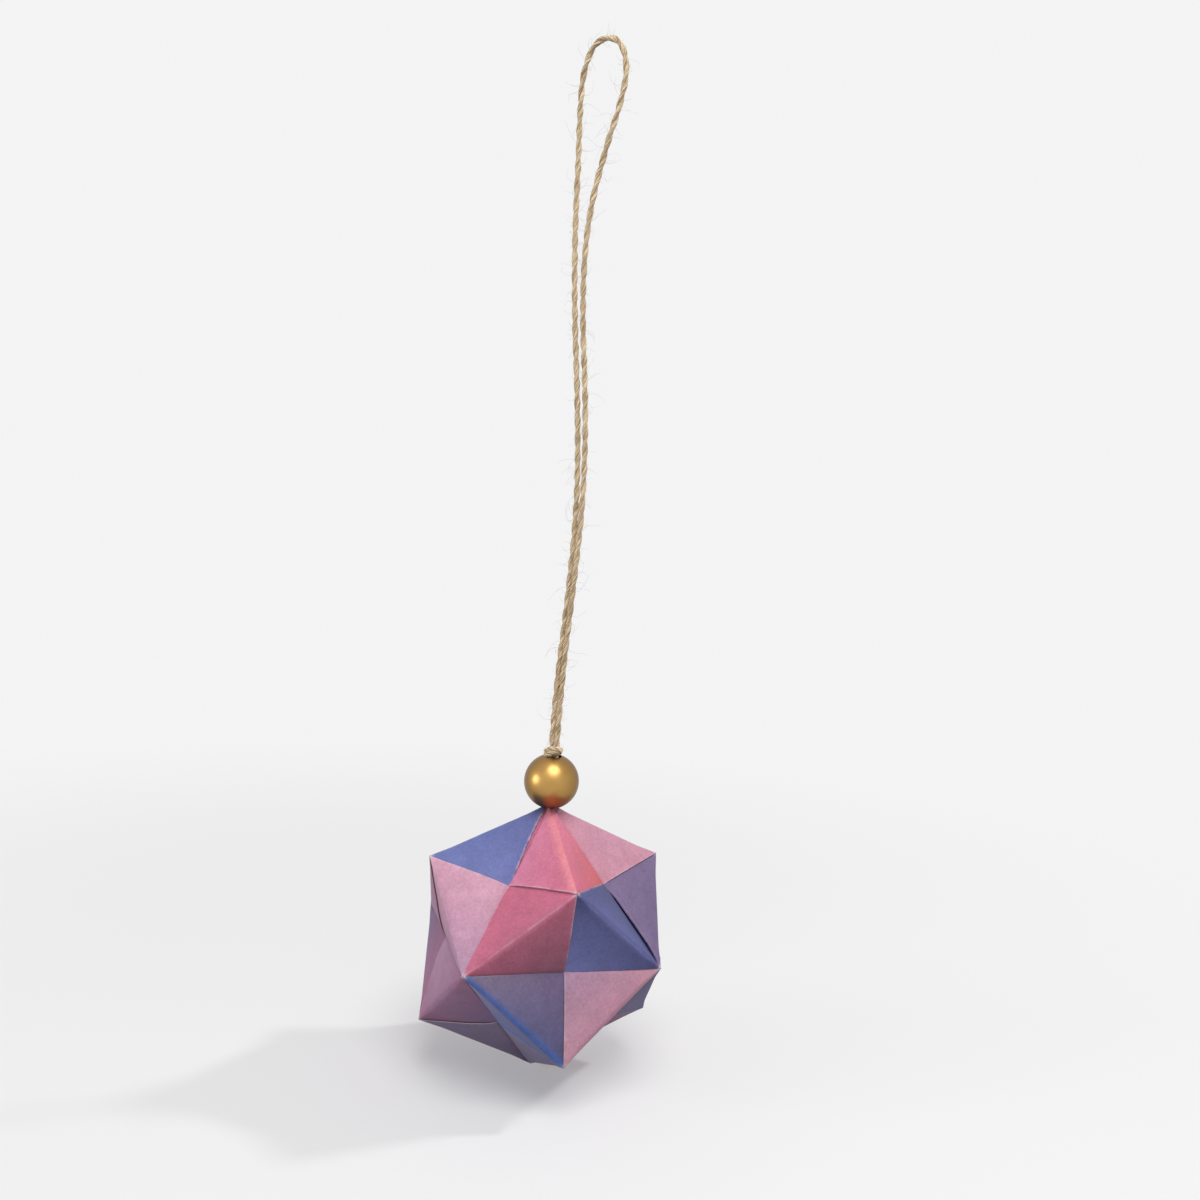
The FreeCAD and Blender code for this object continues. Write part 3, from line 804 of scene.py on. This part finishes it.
def loose_fibre_tree():
    """Fine curly fibres that stand out from a line, each rooted inside the twine."""
    tree, given, result = open_geometry("loose_fibres", {
        "Count": ("NodeSocketInt", 300), "Longest": ("NodeSocketFloat", 7 * MM),
        "Fibre Diameter": ("NodeSocketFloat", 0.06 * MM), "Curl": ("NodeSocketFloat", 4 * MM),
        "Seed": ("NodeSocketInt", 4), "Material": ("NodeSocketMaterial", None)})
    join = tree.links.new
    line = tree.nodes.new("GeometryNodeMeshToCurve")
    roots = shader_node(tree, "GeometryNodeCurveToPoints", (0, 0), mode="COUNT")
    join(given.outputs["Geometry"], line.inputs["Mesh"])
    join(line.outputs[0], roots.inputs["Curve"])
    join(given.outputs["Count"], roots.inputs["Count"])
    hair = tree.nodes.new("GeometryNodeCurvePrimitiveLine")
    hair.inputs["Start"].default_value = (0.0, 0.0, 0.0)
    hair.inputs["End"].default_value = (0.0, 0.0, 1.0)
    steps = shader_node(tree, "GeometryNodeResampleCurve", (200, -200), Count=16)
    join(hair.outputs[0], steps.inputs["Curve"])
    share = tree.nodes.new("GeometryNodeSplineParameter").outputs["Factor"]
    bow = tree.nodes.new("ShaderNodeCombineXYZ")
    turn = math_node(tree, "COSINE", math_node(tree, "MULTIPLY", share, 3.4))
    join(math_node(tree, "MULTIPLY_ADD", turn, -0.36, 0.36), bow.inputs[0])
    join(math_node(tree, "MULTIPLY", math_node(tree, "SINE", math_node(tree, "MULTIPLY", share, 4.6)),
                   0.15), bow.inputs[1])
    join(math_node(tree, "MULTIPLY", math_node(tree, "POWER", share, 2.0), -0.45), bow.inputs[2])
    arched = tree.nodes.new("GeometryNodeSetPosition")
    join(steps.outputs[0], arched.inputs["Geometry"])
    join(bow.outputs[0], arched.inputs["Offset"])
    lean = shader_node(tree, "FunctionNodeRandomValue", (0, -400), data_type="FLOAT_VECTOR")
    lean.inputs["Min"].default_value = (0.25, -math.pi, -math.pi)
    lean.inputs["Max"].default_value = (1.75, math.pi, math.pi)
    reach = shader_node(tree, "FunctionNodeRandomValue", (0, -600), data_type="FLOAT")
    join(given.outputs["Seed"], lean.inputs["Seed"])
    join(given.outputs["Seed"], reach.inputs["Seed"])
    size = math_node(tree, "MULTIPLY_ADD", math_node(tree, "POWER", reach.outputs[1], 3.0),
                     0.82, 0.18)
    placed = tree.nodes.new("GeometryNodeInstanceOnPoints")
    join(roots.outputs["Points"], placed.inputs["Points"])
    join(arched.outputs[0], placed.inputs["Instance"])
    turned = tree.nodes.new("FunctionNodeEulerToRotation")
    join(lean.outputs[0], turned.inputs[0])
    join(turned.outputs[0], placed.inputs["Rotation"])
    join(math_node(tree, "MULTIPLY", size, given.outputs["Longest"]), placed.inputs["Scale"])
    real = tree.nodes.new("GeometryNodeRealizeInstances")
    join(placed.outputs[0], real.inputs[0])
    wave = shader_node(tree, "ShaderNodeTexNoise", (500, -300), noise_dimensions="4D",
                       Scale=300.0, Detail=1.5)
    join(math_node(tree, "MULTIPLY", given.outputs["Seed"], 3.7), wave.inputs["W"])
    tip = tree.nodes.new("GeometryNodeSplineParameter").outputs["Factor"]
    bend = vector_node(tree, "SUBTRACT", wave.outputs["Color"], (0.5, 0.5, 0.5))
    bend = vector_node(tree, "SCALE", bend, scale=math_node(
        tree, "MULTIPLY", math_node(tree, "POWER", tip, 1.3), given.outputs["Curl"]))
    curled = tree.nodes.new("GeometryNodeSetPosition")
    join(real.outputs[0], curled.inputs["Geometry"])
    join(bend, curled.inputs["Offset"])
    section = shader_node(tree, "GeometryNodeCurvePrimitiveCircle", (700, -300), Resolution=3)
    join(math_node(tree, "MULTIPLY", given.outputs["Fibre Diameter"], 0.5), section.inputs["Radius"])
    tube = tree.nodes.new("GeometryNodeCurveToMesh")
    join(curled.outputs[0], tube.inputs["Curve"])
    join(section.outputs[0], tube.inputs["Profile Curve"])
    join(math_node(tree, "SUBTRACT", 1.1, math_node(tree, "MULTIPLY", tip, 0.7)),
         tube.inputs["Scale"])
    whole = tree.nodes.new("GeometryNodeRealizeInstances")
    finish = tree.nodes.new("GeometryNodeSetMaterial")
    join(tube.outputs[0], whole.inputs[0])
    join(whole.outputs[0], finish.inputs["Geometry"])
    join(given.outputs["Material"], finish.inputs["Material"])
    join(finish.outputs[0], result.inputs[0])
    return tree


def smooth_line(name, points):
    """A NURBS curve object with these points, in millimetres, as its control points."""
    data = bpy.data.curves.new(name, "CURVE")
    data.dimensions = "3D"
    data.resolution_u = 12
    spline = data.splines.new("NURBS")
    spline.points.add(len(points) - 1)
    for point, place in zip(spline.points, points):
        point.co = (*(Vector(place) * MM), 1.0)
    spline.order_u = 3
    spline.use_endpoint_u = True
    made = bpy.data.objects.new(name, data)
    bpy.context.scene.collection.objects.link(made)
    return made


def line_mesh(curves):
    """The points that smooth lines go through, as one mesh of edges, and the first one's points."""
    bpy.context.view_layer.update()
    depsgraph = bpy.context.evaluated_depsgraph_get()
    bm = bmesh.new()
    path = None
    for curve in curves:
        mesh = bpy.data.meshes.new_from_object(curve.evaluated_get(depsgraph))
        bm.from_mesh(mesh)
        if path is None:
            path = [v.co.copy() for v in mesh.vertices]
        bpy.data.meshes.remove(mesh)
        bpy.data.objects.remove(curve)
    joined = bpy.data.meshes.new("line")
    bm.to_mesh(joined)
    bm.free()
    return joined, path


def along_line(name, mesh, tree, **values):
    """A piece made along a mesh of edges by a geometry node tree, its inputs set by name."""
    source = bpy.data.objects.new(name + "_line", mesh.copy())
    bpy.context.scene.collection.objects.link(source)
    nodes = source.modifiers.new("nodes", "NODES")
    nodes.node_group = tree
    for socket in tree.interface.items_tree:
        if socket.in_out == "INPUT" and socket.name in values:
            nodes[socket.identifier] = values[socket.name]
    made = finished(source, name, turn=75)
    made.data.polygons.foreach_set("use_smooth", [True] * len(made.data.polygons))
    return made


twine_look = jute()
plies, loose = twisted_tree(), loose_fibre_tree()
loop_line, loop_path = line_mesh([smooth_line("loop_route", LOOP_ROUTE)])
loop = along_line("twine_loop_plies", loop_line, plies, Material=twine_look)

stem_low, stem_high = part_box("twine_stem")
STEM_IN_KNOT = 0.8
stem_foot, stem_head = stem_low[2] / MM - STEM_IN_KNOT, stem_high[2] / MM + STEM_IN_KNOT
strand_heights = [stem_head + (stem_foot - stem_head) * k / 4 for k in range(5)]
stem_lines, _ = line_mesh([smooth_line("strand_route", [(x, 0.0, z) for z in strand_heights])
                           for x in (-STRAND_SPACING / MM / 2, STRAND_SPACING / MM / 2)])
stem = along_line("twine_stem_plies", stem_lines, plies, Material=twine_look)

knot_low, knot_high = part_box("top_knot")
KNOT_MIDDLE = (knot_low + knot_high) / 2 / MM
KNOT_REACH = (knot_high[0] - knot_low[0]) / 2 / MM - TWINE_DIAMETER / MM / 2
KNOT_RISE = (knot_high[2] - knot_low[2]) / 2 / MM - TWINE_DIAMETER / MM / 2
KNOT_TURNS = 2.6


def overhand_wrap(share):
    """A place on the twine that wraps round itself in the knot, from inside to inside."""
    turn = 2 * math.pi * KNOT_TURNS * share - 1.2
    reach = 0.5 + (KNOT_REACH - 0.4) * eased(6 * share) * eased(6 * (1 - share))
    reach *= 1 + 0.10 * math.sin(turn / 2 + 1)
    rise = 0.85 * KNOT_RISE * (2 * share - 1) + 0.55 * math.sin(turn + 0.7 + 2.6 * share)
    return (KNOT_MIDDLE.x + reach * math.cos(turn), KNOT_MIDDLE.y + reach * math.sin(turn),
            KNOT_MIDDLE.z + rise)


knot_line, _ = line_mesh([smooth_line("knot_route", [overhand_wrap(k / 32) for k in range(33)])])
knot = along_line("top_knot_plies", knot_line, plies, Material=twine_look,
                  **{"Twine Diameter": 1.6 * MM, "Turn Length": 7.0 * MM, "Step": 0.3 * MM})

hair = along_line("twine_loose_fibres", loop_line, loose, Material=twine_look, Count=900)
knot_hair = along_line("knot_loose_fibres", knot_line, loose, Material=twine_look, Count=36,
                       Longest=4 * MM, Seed=9)

for piece, nodes in ((loop, ["twine_loop"]), (stem, ["twine_stem"]), (knot, ["top_knot"]),
                     (hair, []), (knot_hair, [])):
    if nodes:
        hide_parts(*nodes)
    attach(piece, "root")
stop_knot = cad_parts["stop_knot"]
stop_knot.data.materials.clear()
stop_knot.data.materials.append(twine_look)

# Floor and light: a white floor just under the ball, a soft light from above, a small light
# behind on the right that throws the shadow forward, and a weaker light low on the left.
def seen_directly(tree, rays):
    """1 where a ray comes from the camera, or off metal or through glass, and otherwise 0."""
    first = math_node(tree, "MAXIMUM", rays.outputs["Is Camera Ray"], rays.outputs["Is Glossy Ray"])
    return math_node(tree, "MAXIMUM", first, rays.outputs["Is Transmission Ray"])


FLOOR_REACH = 4.0
floor_z = BALL_CENTRE.z - CORNER_RADIUS - 0.6 * MM
floor_mesh = bpy.data.meshes.new("table_top")
floor_mesh.from_pydata([(-FLOOR_REACH, -FLOOR_REACH, floor_z), (FLOOR_REACH, -FLOOR_REACH, floor_z),
                        (FLOOR_REACH, FLOOR_REACH, floor_z), (-FLOOR_REACH, FLOOR_REACH, floor_z)],
                       [], [(0, 1, 2, 3)])
floor = bpy.data.objects.new("table_top", floor_mesh)
bpy.context.scene.collection.objects.link(floor)
floor_look, tree, surface = new_material("table_top", Roughness=0.7)
place = shader_node(tree, "ShaderNodeTexCoord", (-900, 300))
centred = shader_node(tree, "ShaderNodeVectorMath", (-700, 300), operation="LENGTH")
fade = shader_node(tree, "ShaderNodeMapRange", (-500, 300), interpolation_type="SMOOTHSTEP",
                   From_Min=0.15, From_Max=0.48)
rays = shader_node(tree, "ShaderNodeLightPath", (-500, 600))
shown = seen_directly(tree, rays)
seen = math_node(tree, "MULTIPLY", fade.outputs[0], shown)
tint = shader_node(tree, "ShaderNodeMix", (-300, 0), data_type="RGBA")
tint.inputs[6].default_value = (0.36, 0.36, 0.37, 1.0)
tint.inputs[7].default_value = (0.86, 0.86, 0.87, 1.0)
white = shader_node(tree, "ShaderNodeEmission", (-100, -200), Color=(0.90, 0.90, 0.91, 1.0))
below = shader_node(tree, "ShaderNodeNewGeometry", (0, 400)).outputs["Backfacing"]
clear = shader_node(tree, "ShaderNodeBsdfTransparent", (150, -200))
sided = shader_node(tree, "ShaderNodeMixShader", (350, 100))
mixed = shader_node(tree, "ShaderNodeMixShader", (150, 100))
output = next(n for n in tree.nodes if n.type == "OUTPUT_MATERIAL")
tree.links.new(place.outputs["Object"], centred.inputs[0])
tree.links.new(centred.outputs["Value"], fade.inputs["Value"])
tree.links.new(shown, tint.inputs[0])
tree.links.new(tint.outputs[2], surface.inputs["Base Color"])
tree.links.new(seen, mixed.inputs[0])
tree.links.new(surface.outputs[0], mixed.inputs[1])
tree.links.new(white.outputs[0], mixed.inputs[2])
tree.links.new(below, sided.inputs[0])
tree.links.new(mixed.outputs[0], sided.inputs[1])
tree.links.new(clear.outputs[0], sided.inputs[2])
tree.links.new(sided.outputs[0], output.inputs["Surface"])
floor_mesh.materials.append(floor_look)


def soft_light(name, offset, width, power, colour):
    """A round soft light that points at the ball, and its object."""
    data = bpy.data.lights.new(name, "AREA")
    data.shape = "DISK"
    data.size = width
    data.energy = power
    data.color = colour
    lamp = bpy.data.objects.new(name, data)
    lamp.location = BALL_CENTRE + Vector(offset)
    lamp.rotation_euler = (-Vector(offset)).to_track_quat("-Z", "Y").to_euler()
    bpy.context.scene.collection.objects.link(lamp)
    return lamp


soft_light("ceiling", (0.28, -0.33, 0.79), 0.56, 4.8, (1.0, 0.985, 0.96))
window = soft_light("window", (0.45, 0.50, 0.63), 0.08, 2.6, (1.0, 0.99, 0.97))
window.visible_glossy = False
soft_light("room", (-0.60, -0.66, 0.15), 0.38, 2.4, (0.97, 0.98, 1.0))
world = bpy.data.worlds.new("studio")
bpy.context.scene.world = world
world.use_nodes = True
tree = world.node_tree
tree.nodes.clear()
lit = shader_node(tree, "ShaderNodeBackground", (0, 100), Color=(0.97, 0.98, 1.0, 1.0), Strength=0.31)
seen = shader_node(tree, "ShaderNodeBackground", (0, -100), Color=(0.90, 0.90, 0.91, 1.0))
rays = shader_node(tree, "ShaderNodeLightPath", (-600, 300))
mixed = shader_node(tree, "ShaderNodeMixShader", (250, 0))
output = tree.nodes.new("ShaderNodeOutputWorld")
tree.links.new(seen_directly(tree, rays), mixed.inputs[0])
tree.links.new(lit.outputs[0], mixed.inputs[1])
tree.links.new(seen.outputs[0], mixed.inputs[2])
tree.links.new(mixed.outputs[0], output.inputs["Surface"])
bpy.context.scene.view_settings.view_transform = "Standard"
